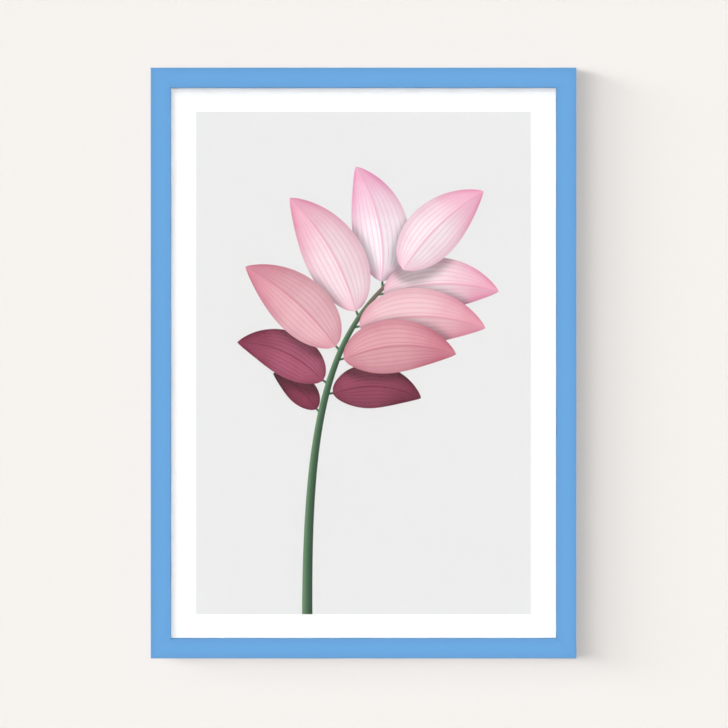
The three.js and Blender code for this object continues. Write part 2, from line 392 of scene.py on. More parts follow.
# %% Paint and bare wood
GRAIN_ALONG, GRAIN_ACROSS = 6.0, 160.0
SEAM_CORE, SEAM_EDGE = 0.05 * MM, 0.3 * MM


def painted_wood():
    f = Finish("sky_blue_satin_on_wood")
    along, around = f.uv()
    stretched = {"X": along * GRAIN_ALONG, "Y": around * GRAIN_ACROSS}
    grain_place = f.node("CombineXYZ", {}, stretched)
    grain = f.noise(9.0, detail=5.0, vector=grain_place, roughness=0.6)
    pores = f.noise(34.0, vector=grain_place)
    wood = f.ramp(grain * 0.75 + pores * 0.25,
                  (0.30, linear("#B48E5F")), (0.50, linear("#D2B184")), (0.72, linear("#E4CBA2")))
    cloud = f.noise(14.0)
    paint = f.mix(cloud, linear("#68A3DA"), linear("#6BA6DD"))
    speckle = f.noise(700.0)
    painted = f.carried("paint")
    cover = (painted + (speckle - 0.5) * 0.5 * (1.0 - painted)).smooth(0.18, 0.34)
    peel = f.noise(420.0)
    film = f.bump(peel, strength=0.035, distance=0.2 * MM)
    rough = cover * (0.44 + cloud * 0.06) + (1.0 - cover) * (0.68 + grain * 0.1)
    normal = f.bump((1.0 - cover) * grain, strength=0.35, distance=0.15 * MM, under=film)
    seam = 1.0 - f.carried("to_mitre").smooth(SEAM_CORE, SEAM_EDGE)
    wood = f.mix(seam * 0.7, wood, linear("#5E4527"))
    return f.finish(f.principled(base_color=f.mix(cover, wood, paint), roughness=rough,
                                 normal=normal, specular_ior_level=0.35))


PAINTED_WOOD = painted_wood()

# %% [markdown]
# ## The mouldings
#
# A moulding is milled in one pass, so it has one profile all along, and the frame maker cuts it at 45
# degrees at both ends. A curve with a bevel profile could make it, but its corners are hard to hold
# to size. Here the profile is carried straight along its length, and shearing each end by its own
# inward distance makes the mitre exactly. A shallow arc makes the crown, and a small round eases it
# into each side. The section is written as arcs and corners in (inward, forward), from the back of
# the outer side, over the front, and back along the rebate.

# %% Section of the moulding
CROWN_RISE = 2.0 * MM
EDGE_ROUND = 0.8 * MM
EASED = 0.4 * MM
OVERSPRAY = 1.2 * MM
EASED_STEPS, ROUND_STEPS, CROWN_STEPS = 5, 10, 40
BARE, COVERED = 0.0, 1.0


def rail_section():
    """(inward, forward) points with paint on each: a circle of radius (h^2 + c^2) / 2c, for half
    width h and rise c, is the crown, and it meets the edge rounds where both share a tangent."""
    half = FACE / 2
    radius = (half ** 2 + CROWN_RISE ** 2) / (2 * CROWN_RISE)
    centre = DEPTH - radius
    lean = math.degrees(math.asin((half - EDGE_ROUND) / (radius - EDGE_ROUND)))
    edge = centre + (radius - EDGE_ROUND) * math.cos(math.radians(lean))
    stretches = [
        (arc(EASED, EASED, EASED, 270, 180, EASED_STEPS), COVERED),
        (arc(EDGE_ROUND, edge, EDGE_ROUND, 180, 90 + lean, ROUND_STEPS), COVERED),
        (arc(half, centre, radius, 90 + lean, 90 - lean, CROWN_STEPS), COVERED),
        (arc(FACE - EDGE_ROUND, edge, EDGE_ROUND, 90 - lean, 0, ROUND_STEPS), COVERED),
        (arc(FACE - EASED, LIP + EASED, EASED, 0, -90, EASED_STEPS), COVERED),
        (np.array([[WALL, LIP]]), BARE),
        (arc(WALL - EASED, EASED, EASED, 0, -90, EASED_STEPS), BARE),
        (np.array([[EASED + OVERSPRAY, 0.0]]), BARE),
        (np.array([[EASED, 0.0]]), COVERED),
    ]
    points = np.concatenate([p for p, _ in stretches])
    paint = np.concatenate([np.broadcast_to(value, len(p)) for p, value in stretches])
    return points, paint


section, section_paint = rail_section()
print(f"section of {len(section)} points")

# %% Four mitred rails
HAIRLINE = 0.01 * MM
ROWS_ALONG = 9
# Turn about Y in degrees, length, and the size of the frame across the rail.
SIDES = {"top": (0, WIDTH, HEIGHT), "right": (90, HEIGHT, WIDTH),
         "bottom": (180, WIDTH, HEIGHT), "left": (270, HEIGHT, WIDTH)}


def turned_side(points, turn):
    """Turns points about the Y axis through the middle of the frame, x' = x cos a + z sin a."""
    a = math.radians(turn)
    x, y, z = np.moveaxis(points, -1, 0)
    return np.stack([x * math.cos(a) + z * math.sin(a), y,
                     z * math.cos(a) - x * math.sin(a) + CENTRE_Z], -1)


def rail(side):
    """Point (t, s): x = t (L / 2 - inward), with t from -1 to 1, and y, z from the section."""
    turn, length, across = SIDES[side]
    t = np.linspace(-1, 1, ROWS_ALONG)[:, None]
    inward, forward = section.T
    x = t * (length / 2 - inward - HAIRLINE)
    y = np.broadcast_to(BACK_Y - forward, x.shape)
    z = np.broadcast_to(across / 2 - inward, x.shape)
    travelled = np.cumsum(np.hypot(*np.diff(section, axis=0, prepend=section[:1]).T))
    uv = np.stack([x, np.broadcast_to(travelled, x.shape)], -1)
    grid = patch(turned_side(np.stack([x, y, z], -1), turn), uv, caps=True, paint=section_paint,
                 to_mitre=(1 - abs(t)) * (length / 2 - inward))
    piece = build(f"moulding_{side}", [grid], PAINTED_WOOD, sharp=40)
    return stands_for(piece, "root", "painted_wood", f"rail_{side}")


mouldings = [rail(side) for side in SIDES]
print("mouldings:", ", ".join(piece.name for piece in mouldings))

# %% [markdown]
# ## Sheets that keep their shape
#
# The glass, the paper and the boards are flat sheets. They could be made anew, but the solid parts
# already have their right shape, so they stay and only get a finish. No cut edge is perfectly sharp,
# so their loose triangles are welded by a modifier, and a small bevel takes the sharpness off.

# %% Soften and finish a part that stays
WELD = 1e-6
EASE_STEPS = 2
EASE_FROM = 40


def soften(node, material, ease):
    """Gives a part its material and an eased edge, without touching its mesh."""
    part = frame["nodes"][node]
    part.data.materials.clear()
    part.data.materials.append(material)
    weld = part.modifiers.new("weld", "WELD")
    weld.merge_threshold = WELD
    bevel = part.modifiers.new("ease", "BEVEL")
    bevel.width = ease
    bevel.segments = EASE_STEPS
    bevel.limit_method = "ANGLE"
    bevel.angle_limit = math.radians(EASE_FROM)
    print(f"{node}: edges eased by {ease / MM:.2f} mm")


print(f"edges turned by more than {EASE_FROM} degrees are eased")

# %% [markdown]
# ## Glass that hides nothing
#
# Picture glass is clear float glass, two millimetres thick, and all that shows of it is a faint
# gloss that grows towards a slanting view. A full glass shader bends the light and throws dark
# shadows on the sheet just behind it, and it is slow. Glass as thin as this hardly bends anything,
# so a see-through shader is mixed with a mirror by the slant of the view.

# %% Clear glass
MIRRORED = 0.015
GLASS_TINT = (0.996, 0.997, 0.9965, 1.0)


def clear_glass():
    """Clear float glass: a share F = F0 + (1 - F0)(1 - cos a)^5 of the light is mirrored, by
    Schlick's rule, on both faces alike, and the rest goes straight through."""
    f = Finish("clear_float_glass")
    slant = f.node("LayerWeight", {}, {"Blend": 0.5}, output="Facing")
    film = f.noise(30.0, detail=3.0)
    through = f.node("BsdfTransparent", {}, {"Color": GLASS_TINT})
    gloss = f.node("BsdfGlossy", {}, {"Color": WHITE, "Roughness": (film * 0.05).clamp()})
    mirrored = MIRRORED + (1.0 - MIRRORED) * slant ** 5.0
    return f.finish(f.node("MixShader", {}, {0: mirrored, 1: through, 2: gloss}))


soften("glazing_sheet", clear_glass(), 0.25 * MM)

# %% [markdown]
# ## The printed sheet
#
# Heavy matt art paper: white, with the faint tooth of its fibres, and a pale grey field printed on
# it that leaves a white border. The field could be a second thin sheet, but a flat print has no
# edge to feel, so the sheet's own shader draws it: two distances from the middle of the sheet, along
# X and along Z, give the rectangle. A soft edge of a tenth of a millimetre is what ink does there.

# %% Paper and its printed field
FIELD_HALF_WIDTH = 125.0 * MM
FIELD_HALF_HEIGHT = 187.5 * MM
INK_EDGE = 0.1 * MM


def paper_fibre(f):
    """The noise of the paper's fibres, which shows in bare paper and through ink."""
    return f.noise(900.0, detail=4.0, roughness=0.7)


def matt_sheet(f, colour, fibre, roughness):
    """Matt paper, or ink on it, with the tooth of its fibres."""
    tooth = f.bump(fibre, strength=0.12, distance=0.05 * MM)
    return f.finish(f.principled(base_color=colour, roughness=roughness + fibre * 0.1, normal=tooth,
                                 specular_ior_level=0.15))


def printed_paper():
    f = Finish("matt_art_paper")
    x, _, z = f.axes(f.object)
    side = (FIELD_HALF_WIDTH - abs(x)).smooth(0.0, INK_EDGE)
    height = (FIELD_HALF_HEIGHT - abs(z - CENTRE_Z)).smooth(0.0, INK_EDGE)
    fibre = paper_fibre(f)
    white = f.mix(fibre, linear("#F9F9F9"), linear("#FDFDFD"))
    grey = f.mix(fibre, linear("#E3E3E3"), linear("#E8E8E8"))
    return matt_sheet(f, f.mix(side * height, white, grey), fibre, 0.85)


soften("art_print", printed_paper(), 0.02 * MM)
print(f"printed field {2 * FIELD_HALF_WIDTH / MM:.0f} x {2 * FIELD_HALF_HEIGHT / MM:.0f} mm")

# %% [markdown]
# ## The motif
#
# The field carries a plain botanical study: one leaning stem, with leaves that go from burgundy at
# the foot to pale pink at the top. It could be painted in the sheet's shader, with one mask for each
# leaf, but that takes hundreds of nodes. Here each leaf is a skin of ink a few hundredths of a
# millimetre thick, cut to its outline, and one shader draws the veins and the fold from the leaf's
# own coordinates: how far along the midrib, and how far out from it.

# %% Curves
def bezier(points, t):
    """Point and direction of the curve that de Casteljau's rule draws through control points."""
    points = [np.array(p, float)[None, :] for p in points]
    t = np.atleast_1d(t)[:, None]
    while len(points) > 2:
        points = [a + (b - a) * t for a, b in zip(points, points[1:])]
    direction = points[1] - points[0]
    return points[0] + direction * t, direction / np.linalg.norm(direction, axis=1, keepdims=True)


print("middle of a bend:", bezier([(0, 0), (1, 2), (2, 0)], 0.5)[0][0].tolist())

# %% Ribbons of ink
INK_STEP = 0.04 * MM
INK_SKIN = 0.03 * MM
ACROSS = np.linspace(-1, 1, 15)


def ribbon(middle, direction, half_width, layer, **values):
    """Point (s, v) = middle(s) + v w(s) normal(s), on the front of the sheet, closed by an equal
    back a skin behind it. Middle is in millimetres from the centre of the field."""
    normal = np.stack([direction[:, 1], -direction[:, 0]], -1)
    flat = middle[:, None, :] + ACROSS[None, :, None] * (half_width[:, None] * normal)[:, None, :]
    front = PAPER_Y - INK_STEP * layer
    top = np.stack([flat[..., 0] * MM, np.full(flat.shape[:2], front),
                    flat[..., 1] * MM + CENTRE_Z], -1)
    under = top[:, ::-1].copy()
    under[..., 1] += INK_SKIN
    along = np.linspace(0, 1, len(middle))[:, None]
    out = np.concatenate([ACROSS, ACROSS[::-1], ACROSS[:1]])[None, :]
    uv = np.stack(np.broadcast_arrays(along, out), -1)
    ring = np.concatenate([top, under, top[:, :1]], 1)
    return patch(ring, uv, **values)


print(f"skins of ink {INK_SKIN / MM:.2f} mm thick, {INK_STEP / MM:.2f} mm from layer to layer")

# %% [markdown]
# The stem is one cubic curve from the foot of the field, and each leaf starts on it. A leaf's
# outline could be drawn point by point, but leaves follow a simple rule: the midrib is a curve that
# bends to one side, and the half width is s^a (1 - s)^b, which is round near the stalk and pointed
# at the tip.

# %% The stem and the leaves on it, in millimetres
STEM = [(-42.0, -187.5), (-42.0, -60.0), (-32.0, 20.0), (26.0, 66.0)]
STEM_FOOT, STEM_TIP = 3.9, 1.3
STALK = 5.0
LEAF_BASE, LEAF_POINT = 0.62, 0.86
ALONG = np.linspace(0, 1, 49)

# Place on the stem, angle to it in degrees, length, width, bend, tone, layer.
LEAVES = [
    (1.00, 6, 84, 40, -0.12, 0.06, 3),
    (0.93, 58, 88, 42, 0.18, 0.00, 1),
    (0.90, -46, 86, 40, -0.16, 0.12, 2),
    (0.80, 64, 98, 44, 0.14, 0.12, 2),
    (0.76, -60, 94, 43, -0.18, 0.28, 4),
    (0.67, 72, 90, 42, 0.12, 0.40, 5),
    (0.64, -66, 84, 40, -0.20, 0.52, 6),
    (0.56, 82, 70, 34, 0.22, 0.80, 4),
    (0.53, -78, 66, 33, -0.22, 0.92, 5),
    (0.47, 62, 42, 21, 0.18, 1.00, 3),
]


def leaf_form(place, angle, length, width, bend):
    """Midrib, its direction and the half width of a leaf that leaves the stem at an angle."""
    root, heading = (a[0] for a in bezier(STEM, place))
    turn = math.radians(angle)
    aim = np.array([heading[0] * math.cos(turn) - heading[1] * math.sin(turn),
                    heading[0] * math.sin(turn) + heading[1] * math.cos(turn)])
    aside = np.array([aim[1], -aim[0]])
    stalk = root + aim * STALK
    control = stalk + aim * length * 0.5 + aside * bend * length
    middle, direction = bezier([stalk, control, stalk + aim * length], ALONG)
    peak = LEAF_BASE / (LEAF_BASE + LEAF_POINT)
    top = peak ** LEAF_BASE * (1 - peak) ** LEAF_POINT
    half_width = width / 2 * ALONG ** LEAF_BASE * (1 - ALONG) ** LEAF_POINT / top
    return {"middle": middle, "direction": direction, "half_width": half_width, "root": root,
            "stalk": stalk}


forms = [leaf_form(*row[:5]) for row in LEAVES]
print("leaf tips:", [form["middle"][-1].round().tolist() for form in forms])

# %% The soft shadow of one leaf on another
SHADOW_SHIFT = np.array([1.6, -2.2])
SHADOW_DEPTH, SHADOW_BLUR = 0.5, 4.0


def shadow_on(form, above):
    """Light left on a leaf's points: each leaf above, as discs along its midrib, dims what lies
    within a few millimetres of its lower right edge by a bell curve of the distance."""
    normal = np.stack([form["direction"][:, 1], -form["direction"][:, 0]], -1)
    spread = ACROSS[None, :, None] * (form["half_width"][:, None] * normal)[:, None, :]
    points = form["middle"][:, None, :] + spread - SHADOW_SHIFT
    light = np.ones(points.shape[:2])
    for other in above:
        away = np.linalg.norm(points[:, :, None] - other["middle"][None, None], axis=-1)
        gap = np.maximum((away - other["half_width"]).min(-1), 0)
        light = np.minimum(light, 1 - SHADOW_DEPTH * np.exp(-(gap / SHADOW_BLUR) ** 2))
    return np.concatenate([light, light[:, ::-1], light[:, :1]], 1)


print(f"least light on a leaf under its neighbour: {shadow_on(forms[1], forms[:1]).min():.2f}")

# %% [markdown]
# The ink shader reads `form`: its first number runs along the leaf and its second from -1 to 1
# across it. Noise could stand for the veins, but it would wander over the rim, so they are sine
# waves of the second number, and all run from the stalk to the tip and close up at both ends. One
# half of the leaf is a little darker, as if folded at the midrib, and the tip, the foot and the rim
# are deeper in colour.

# %% Ink for the leaves
VEIN_WAVE = 36.0
HAIR_WAVE = 2.7 * VEIN_WAVE


def leaf_ink():
    f = Finish("botanical_leaf_ink")
    along, out = f.uv()
    tone, light = f.carried("tone"), f.carried("light")
    reach = abs(out)
    body = f.ramp(tone, (0.0, linear("#FBF4F8")), (0.3, linear("#F0C9CF")), (0.6, linear("#DB99A2")),
                  (0.8, linear("#AE5A74")), (1.0, linear("#8C3650")))
    rim = f.ramp(tone, (0.0, linear("#EE9DC0")), (0.3, linear("#DE8C9F")), (0.6, linear("#B95B70")),
                 (0.8, linear("#7A2440")), (1.0, linear("#4E1024")))
    clouds = f.noise(60.0, detail=3.0)
    deeper = (along.smooth(0.4, 1.0) * 0.8 + reach ** 3.0 * 0.45 + (clouds - 0.5) * 0.5
              + (1.0 - along.smooth(0.0, 0.22)) * 0.35).clamp()
    colour = f.mix(deeper, body, rim)
    wander = (f.noise(28.0) - 0.5) * 3.0
    veins = (out * VEIN_WAVE + wander).sine().smooth(0.45, 1.0) * 0.34
    hairs = (out * HAIR_WAVE + wander * 2.0).sine().smooth(0.2, 1.0) * 0.16
    edge_fade = 1.0 - reach.smooth(0.8, 1.0)
    colour = f.mix((veins + hairs) * edge_fade, colour, rim)
    midrib = 1.0 - reach.smooth(0.012, 0.05)
    colour = f.mix(midrib * 0.6, colour, rim)
    curl = reach.smooth(0.55, 1.0) * 0.08
    fold = 1.0 - out.smooth(-0.06, 0.06) * 0.09 - curl
    shade = fold * light
    grey = f.node("CombineColor", {}, {"Red": shade, "Green": shade, "Blue": shade})
    colour = f.mix(1.0, colour, grey, blend="MULTIPLY")
    return matt_sheet(f, colour, paper_fibre(f), 0.8)


LEAF_INK = leaf_ink()


# %% Ink for the stem
def stem_ink():
    f = Finish("botanical_stem_ink")
    along, out = f.uv()
    stretched = f.node("CombineXYZ", {}, {"X": along * 4.0, "Y": out * 1.5})
    streaks = f.noise(16.0, detail=4.0, vector=stretched)
    round_shade = (out * 0.5 + 0.5).smooth(0.0, 0.9) * 0.7 + streaks * 0.35
    colour = f.ramp(round_shade, (0.15, linear("#6C8F6A")), (0.5, linear("#44674B")),
                    (0.9, linear("#28442F")))
    colour = f.mix(along.smooth(0.72, 1.0) * 0.7, colour, linear("#8A5A5E"))
    return matt_sheet(f, colour, paper_fibre(f), 0.8)


STEM_INK = stem_ink()

# %% Print the motif
STALK_HALF_WIDTH, STALK_TAPER = 1.1, 0.7
STALK_LAYER, STEM_LAYER = 0.8, 0.9
STALK_ENDS_AT = 6  # a point of the midrib, so that the stalk runs into the leaf

leaf_patches, stalk_patches = [], []
for form, (*_, tone, layer) in zip(forms, LEAVES):
    above = [other for other, row in zip(forms, LEAVES) if row[-1] > layer]
    light = shadow_on(form, above)
    leaf_patches.append(ribbon(form["middle"], form["direction"], form["half_width"], layer,
                               tone=tone, light=light))
    end = form["middle"][STALK_ENDS_AT]
    middle, heading = bezier([form["root"], form["stalk"], end], ALONG)
    half_width = STALK_HALF_WIDTH - STALK_TAPER * ALONG
    stalk_patches.append(ribbon(middle, heading, half_width, STALK_LAYER))

middle, heading = bezier(STEM, ALONG)
stem_patch = ribbon(middle, heading, STEM_FOOT + (STEM_TIP - STEM_FOOT) * ALONG, STEM_LAYER)
leaves = build("printed_leaves", leaf_patches, LEAF_INK, sharp=60)
stem = build("printed_stem", [stem_patch] + stalk_patches, STEM_INK, sharp=60)
for piece in (leaves, stem):
    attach(piece, "root")
print(f"{len(LEAVES)} leaves, {len(leaves.data.polygons)} faces of ink")

# %% [markdown]
# ## The boards behind the print
#
# Foam board presses the sheet against the glass, and a brown hardboard closes the back. Hardboard
# is pressed wet against a wire screen, so its back has a fine square net, with darker fibres in it.
# Real ridges two millimetres apart would take a million faces, so the net is a bump: the product of
# two sine waves, bent a little by slow noise.

# %% Foam board
def foam_board():
    f = Finish("paper_faced_foam_board")
    cells = f.node("TexVoronoi", {}, {"Vector": f.object, "Scale": 900.0})
    mottle = f.noise(80.0, detail=3.0)
    colour = f.mix(mottle, linear("#F3F1EB"), linear("#FAF9F5"))
    return f.finish(f.principled(base_color=colour, roughness=0.8 + mottle * 0.1,
                                 normal=f.bump(cells, strength=0.1, distance=0.1 * MM)))


soften("filler_board", foam_board(), 0.3 * MM)

# %% Hardboard
NET_PITCH = 1.9 * MM


def hardboard():
    f = Finish("screen_backed_hardboard")
    x, _, z = f.axes(f.object)
    wave = 2 * math.pi / NET_PITCH
    drift = f.noise(9.0) * 4.0
    net = (x * wave + drift).sine() * (z * wave + drift).sine()
    fibre = f.noise(420.0, detail=4.0, roughness=0.75)
    long_fibre = f.noise(120.0, detail=3.0, stretch=(1.0, 1.0, 0.35))
    base = f.ramp(fibre * 0.6 + long_fibre * 0.4, (0.28, linear("#5F4630")),
                  (0.5, linear("#8A6A49")), (0.75, linear("#A58660")))
    clouds = f.noise(7.0, detail=3.0)
    colour = f.mix(clouds.smooth(0.3, 0.7) * 0.35, base, linear("#7A5A3C"))
    colour = f.mix((0.5 - net * 0.5) * 0.3, colour, linear("#4A3522"))
    relief = f.bump(net * 0.5 + fibre * 0.5, strength=0.5, distance=0.2 * MM)
    return f.finish(f.principled(base_color=colour, roughness=0.62 + fibre * 0.2, normal=relief,
                                 specular_ior_level=0.3))


soften("back_board", hardboard(), 0.35 * MM)

# %% [markdown]
# ## Metals and rubber
#
# The turn buttons, screws and hanger are bright zinc: a cool grey metal with a slight change of hue
# from the plating bath and fine rolling marks. The nails and corner fasteners are plain grey steel.
# A metal with one colour looks like plastic foil, so noise varies both its colour and its gloss. The
# wall bumpers are clear, cloudy rubber: light that scatters inside would be slow, and a mix of a
# matt skin and a see-through one looks the same on so small a piece.

# %% Small hardware finishes
def plated_steel(name, dark, light, roughness):
    f = Finish(name)
    rolled = f.noise(160.0, detail=3.0, stretch=(1.0, 1.0, 9.0))
    bath = f.noise(220.0)
    colour = f.mix(bath, linear(dark), linear(light))
    return f.finish(f.principled(base_color=colour, metallic=1.0,
                                 roughness=roughness + rolled * 0.16,
                                 normal=f.bump(rolled, strength=0.05, distance=0.05 * MM)))


def clear_rubber():
    f = Finish("cloudy_clear_rubber")
    cloud = f.noise(500.0)
    skin = f.principled(base_color=f.mix(cloud, linear("#C9CECE"), linear("#DDE1E1")),
                        roughness=0.3 + cloud * 0.15)
    through = f.node("BsdfTransparent", {}, {"Color": (0.95, 0.97, 0.97, 1.0)})
    return f.finish(f.node("MixShader", {}, {0: 0.78 + cloud * 0.1, 1: through, 2: skin}))


ZINC = plated_steel("bright_zinc_plate", "#B4B8BE", "#C6C8C4", 0.30)
GREY_STEEL = plated_steel("plain_grey_steel", "#6F7276", "#828486", 0.38)
RUBBER = clear_rubber()

# %% [markdown]
# ## Turned pieces
#
# Screws, nails and bumpers are turned shapes. A cylinder with bevels would be near, but a real head
# has its own outline, so each piece is a profile of (radius, height) pairs, carried round an axis
# that points out of the back of the frame. The cross in a screw head could be cut with a boolean.
# Lowering the points of the head by a formula keeps the grid whole and its edges soft.

# %% Turn a profile about an axis
ROUND = 40


def turned(profile, centre, relief=None):
    """Point (h, a) = centre + (r cos a, h, r sin a). Relief lowers the height by a function of
    the two flat coordinates."""
    radius, height = np.array(profile, float).T
    angle = np.linspace(0, 2 * math.pi, ROUND + 1)
    x = radius[:, None] * np.cos(angle)
    z = radius[:, None] * np.sin(angle)
    y = np.broadcast_to(height[:, None], x.shape)
    if relief is not None:
        y = y - relief(x, z, y)
    return patch(np.stack([x, y, z], -1) + np.array(centre))


def axis_of(name):
    """A point on the axis of a turned part, its lowest and highest y, and its radius."""
    lo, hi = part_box(name)
    return ((lo.x + hi.x) / 2, 0.0, (lo.z + hi.z) / 2), lo.y, hi.y, (hi.x - lo.x) / 2


print(f"{ROUND} faces round each turned piece")

# %% Screws with a cross recess
SCREW_RADIUS, SCREW_HEAD, SHANK = 2.6 * MM, 1.1 * MM, 1.25 * MM
SCREW_POINT = 2.0 * MM
UNDER_RIM, RIM_SHARE, FLAT_SHARE = 0.94, 0.35, 0.55
CROSS_REACH, CROSS_END = 1.35 * MM, 0.25 * MM
CROSS_HALF_WIDTH, CROSS_SIDE = 0.42 * MM, 0.16 * MM
CROSS_DEPTH = 0.55 * MM
SEAT_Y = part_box("button_screw_top_left")[1].y - SCREW_HEAD


def cross_recess(x, z, y):
    """Depth of a cross in the screw head: two tapered arms, deepest where they meet."""
    def arm(a, b):
        inside = np.clip((CROSS_REACH - np.abs(a)) / CROSS_END, 0, 1)
        return inside * np.clip((CROSS_HALF_WIDTH - np.abs(b)) / CROSS_SIDE, 0, 1)
    depth = CROSS_DEPTH * np.maximum(arm(x, z), arm(z, x))
    return np.where(y > SEAT_Y + 0.4 * SCREW_HEAD, depth, 0.0)


def screw(name):
    """A pan head with a cross in it on a short pointed shank. From the rim inwards, the crown is
    r = R (1 - t^2.6), h = sin(t pi / 2)."""
    centre, low, _, _ = axis_of(name)
    t = np.linspace(0, 1, 12)
    rise = RIM_SHARE + (1 - RIM_SHARE) * np.sin(t * math.pi / 2)
    crown = np.stack([SCREW_RADIUS * (1 - t ** 2.6), SEAT_Y + SCREW_HEAD * rise], -1)
    crown = crown[crown[:, 0] > SCREW_RADIUS * FLAT_SHARE]
    inner = np.linspace(SCREW_RADIUS * FLAT_SHARE, 0, 10)[1:]
    flat = np.stack([inner, np.full(len(inner), SEAT_Y + SCREW_HEAD)], -1)
    profile = [[0, low], [SHANK, low + SCREW_POINT], [SHANK, SEAT_Y],
               [SCREW_RADIUS * UNDER_RIM, SEAT_Y], *crown.tolist(), *flat.tolist()]
    piece = build(f"screw_{name.removeprefix('button_screw_')}",
                  [turned(profile, centre, cross_recess)], ZINC, sharp=50)
    return stands_for(piece, "root", "zinc_steel", name)


screws = [screw(name) for name in sorted(frame["nodes"]) if name.startswith("button_screw_")]
print(f"{len(screws)} screws")

# %% Nails
NAIL_SHANK, NAIL_POINT = 0.7 * MM, 1.5 * MM
NAIL_HEAD, NAIL_EDGE, NAIL_DISH = 0.8 * MM, 0.25 * MM, 0.02 * MM


def nail(name):
    """A small flat-headed nail, with a rounded rim and a slight dish in its head."""
    centre, low, high, radius = axis_of(name)
    seat, flat = high - NAIL_HEAD, radius - NAIL_EDGE
    profile = [[0, low], [NAIL_SHANK, low + NAIL_POINT], [NAIL_SHANK, seat], [flat, seat],
               *arc(flat, seat + NAIL_EDGE, NAIL_EDGE, -90, 0, 3).tolist(),
               *arc(flat, high - NAIL_EDGE, NAIL_EDGE, 0, 90, 4).tolist(),
               [radius * 0.5, high - NAIL_DISH], [0, high]]
    piece = build(f"small_nail_{name.removeprefix('hanger_nail_')}", [turned(profile, centre)],
                  GREY_STEEL, sharp=50)
    return stands_for(piece, "root", "fastener_steel", name)


nails = [nail(f"hanger_nail_{side}") for side in ("left", "right")]
print(f"{len(nails)} nails")

# %% Bumpers
BUMPER_FLAT, BUMPER_SIDE = 3.0 * MM, 0.9 * MM


def bumper(name):
    """A low dome, a quarter ellipse on a short side, with a small flat that touches the wall."""
    centre, low, high, radius = axis_of(name)
    rise = np.radians(np.linspace(0, 90, 14))
    foot = low + BUMPER_SIDE
    dome = np.stack([BUMPER_FLAT + (radius - BUMPER_FLAT) * np.cos(rise),
                     foot + (high - foot) * np.sin(rise)], -1)
    profile = [[0, low], [radius, low], *dome.tolist(), [BUMPER_FLAT * 0.5, high], [0, high]]
    piece = build(f"wall_{name}", [turned(profile, centre)], RUBBER, sharp=40)
    return stands_for(piece, "root", "bumper_rubber", name)


bumpers = [bumper(f"bumper_{side}") for side in ("left", "right")]
print(f"{len(bumpers)} bumpers")

# %% [markdown]
# ## Turn buttons
#
# A turn button is a drop-shaped steel plate on a screw: a wide round hub and a narrow round tip,
# with a rib pressed along the middle to stiffen it. Its rim is eased by the press. A flat outline
# with Solidify would have neither rib nor rim, so the plate is a ring of cross-sections round the
# screw hole: each section goes out over the back face, round the rim, and home along the front
# face. All eight turn with their own bodies.

# %% Outline of a turn button
HUB, TIP, REACH, HOLE = 5.0 * MM, 3.0 * MM, 16.0 * MM, 1.6 * MM
OUTLINE_POINTS = 97


def drop_outline(count):
    """Hub arc, straight flank, tip arc, straight flank: the hull of two circles, from (0, 0) to
    (REACH, 0), as (count, 2) points evenly spaced along it."""
    lean = math.degrees(math.acos((HUB - TIP) / REACH))
    hub = arc(0, 0, HUB, lean, 360 - lean, 60)
    corners = np.concatenate([hub, arc(REACH, 0, TIP, -lean, lean, 30), hub[:1]])
    steps = np.cumsum(np.hypot(*np.diff(corners, axis=0, prepend=corners[:1]).T))
    even = np.linspace(0, steps[-1], count)
    return np.stack([np.interp(even, steps, corners[:, k]) for k in (0, 1)], -1)


outline = drop_outline(OUTLINE_POINTS)
print(f"drop {np.ptp(outline[:, 0]) / MM:.0f} x {np.ptp(outline[:, 1]) / MM:.0f} mm")

# %% Press the turn buttons
# Shares of the way from the hole to the outline: out over the back, round the rim in four points and
# home. HEIGHTS is the share of the thickness at each.
OUT = np.array([0.0, 0.04, 0.14, 0.26, 0.38, 0.5, 0.62, 0.74, 0.86, 0.94])
SHARES = np.concatenate([OUT, [0.985, 1.0, 1.0, 0.985], OUT[:0:-1], [0.0, 0.0]])
HEIGHTS = np.concatenate([[0.88], np.ones(9), [0.94, 0.72, 0.28, 0.06], np.zeros(10), [0.88]])
RIB_HALF_WIDTH, RIB_HEIGHT = 1.1 * MM, 0.35 * MM
RIB_START, RIB_END, RIB_FADE = 4.2 * MM, REACH + 0.4 * MM, 2.0 * MM


def turn_button(joint):
    """Point (g, k) = hole_k + g (outline_k - hole_k), lifted by a bell curve across the rib."""
    name = joint["name"].removesuffix("_turn").removeprefix("button_")
    node = f"turn_button_{name}"
    lo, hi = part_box(node)
    pivot = np.array([joint["pos_m"][0], joint["pos_m"][2]])
    away = np.array([(lo.x + hi.x) / 2, (lo.z + hi.z) / 2]) - pivot
    away = away / np.linalg.norm(away)
    hole = HOLE * outline / np.linalg.norm(outline, axis=1, keepdims=True)
    flat = hole[:, None, :] + (outline - hole)[:, None, :] * SHARES[None, :, None]
    rib = RIB_HEIGHT * np.exp(-(flat[..., 1] / RIB_HALF_WIDTH) ** 2)
    rib = rib * np.clip((flat[..., 0] - RIB_START) / RIB_FADE, 0, 1)
    rib = rib * np.clip((RIB_END - flat[..., 0]) / RIB_FADE, 0, 1)
    y = lo.y + (hi.y - lo.y) * HEIGHTS[None, :] + rib
    side = np.array([away[1], -away[0]])
    x = pivot[0] + flat[..., 0] * away[0] + flat[..., 1] * side[0]
    z = pivot[1] + flat[..., 0] * away[1] + flat[..., 1] * side[1]
    piece = build(f"button_{name}", [patch(np.stack([x, y, z], -1))], ZINC, sharp=45)
    return stands_for(piece, joint["child"], "zinc_steel", node)


buttons = [turn_button(joint) for joint in frame["joints"]]
print(f"{len(buttons)} turn buttons, {len(buttons[0].data.polygons)} faces each")

